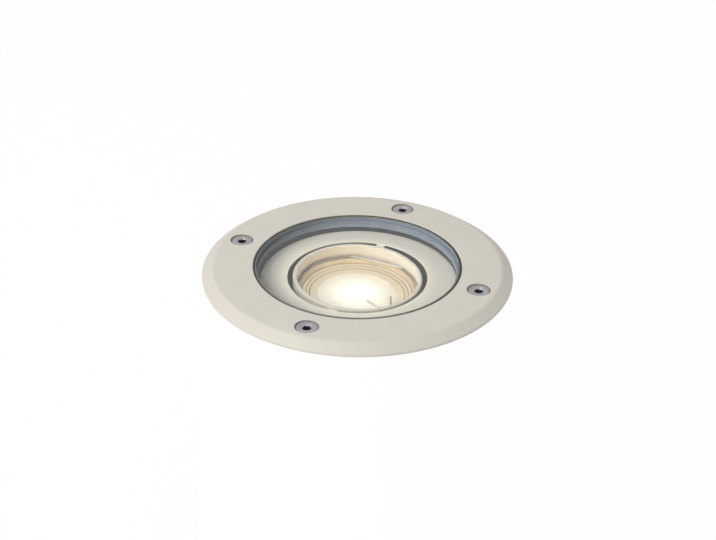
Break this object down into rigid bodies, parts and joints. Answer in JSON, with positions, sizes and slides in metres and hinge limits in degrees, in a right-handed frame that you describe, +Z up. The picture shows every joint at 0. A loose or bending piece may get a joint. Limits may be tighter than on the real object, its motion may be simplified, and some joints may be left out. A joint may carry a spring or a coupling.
{
  "type": "in ground well light",
  "caption": "Round in-ground well light: cream screwed trim, flush glass, turning baffle, tilting lamp ring with spring clip and reflector lamp, cast pot, gland and ground sleeve.",
  "frame": {"origin": "centre of the ground sleeve's foot, on the plane it stands on", "axes": "+Z up through the window along the light's axis; +X towards the cable gland and one cable notch; +Y away from the viewer of the picture"},
  "size_m": [0.13, 0.13, 0.135],
  "materials": {
    "cream_coat": "satin polyester powder coat, warm pale grey cream",
    "bare_aluminium": "bare pressure-cast aluminium, blue-grey, slightly oxidised",
    "stainless": "plain stainless steel, lightly tarnished",
    "window_glass": "clear toughened float glass",
    "seal_rubber": "dark silicone rubber, matt",
    "black_nylon": "black moulded nylon, fine matt",
    "sleeve_plastic": "charcoal moulded polypropylene, matt",
    "bowl_glass": "pressed glass bowl with a warm dichroic coating",
    "lens_glass": "clear pressed glass, warm",
    "capsule_glass": "lit quartz capsule",
    "white_ceramic": "unglazed steatite",
    "nickel": "dull nickel plate",
    "brass": "plain brass, slightly dull",
    "lead_sleeving": "silicone lead in white glass-fibre sleeving",
    "block_plastic": "off-white heat-resistant polyamide"
  },
  "bodies": {
    "fixture": {"trim_bezel": "cream_coat", "bezel_screws": "stainless", "glass_pane": "window_glass", "glass_gasket": "seal_rubber", "glass_carrier": "bare_aluminium", "carrier_seal": "seal_rubber", "flange_gasket": "seal_rubber", "housing_pot": "bare_aluminium", "gland_washers": "seal_rubber", "gland_locknuts": "black_nylon", "cable_gland_body": "black_nylon", "cable_gland_seal": "seal_rubber", "cable_gland_nut": "black_nylon", "blanking_plug": "black_nylon", "earth_washer": "stainless", "earth_screw": "brass", "ground_sleeve": "sleeve_plastic"},
    "baffle": {"baffle_ring": "cream_coat"},
    "lamp_head": {"lamp_ring": "cream_coat", "pivot_pins": "stainless", "pivot_washers": "stainless", "lamp_clip": "stainless", "lamp_reflector": "bowl_glass", "lamp_front_lens": "lens_glass", "lamp_capsule": "capsule_glass", "lamp_base": "white_ceramic", "lamp_contact_pins": "nickel", "holder_body": "white_ceramic", "holder_cover": "white_ceramic", "holder_contacts": "brass", "holder_screws": "stainless", "lead_live": "lead_sleeving", "lead_neutral": "lead_sleeving", "terminal_block": "block_plastic", "terminal_inserts": "brass", "terminal_screws": "stainless"}
  },
  "joints": [
    {"name": "baffle_turn", "type": "hinge", "parent": "fixture", "child": "baffle", "pos_m": [0, 0, 0.1186], "axis": [0, 0, 1], "range_deg": [-175, 175]},
    {"name": "lamp_tilt", "type": "hinge", "parent": "baffle", "child": "lamp_head", "pos_m": [0, 0, 0.1216], "axis": [0.342, 0.9397, 0], "range_deg": [-8.3, 4.7]}
  ]
}
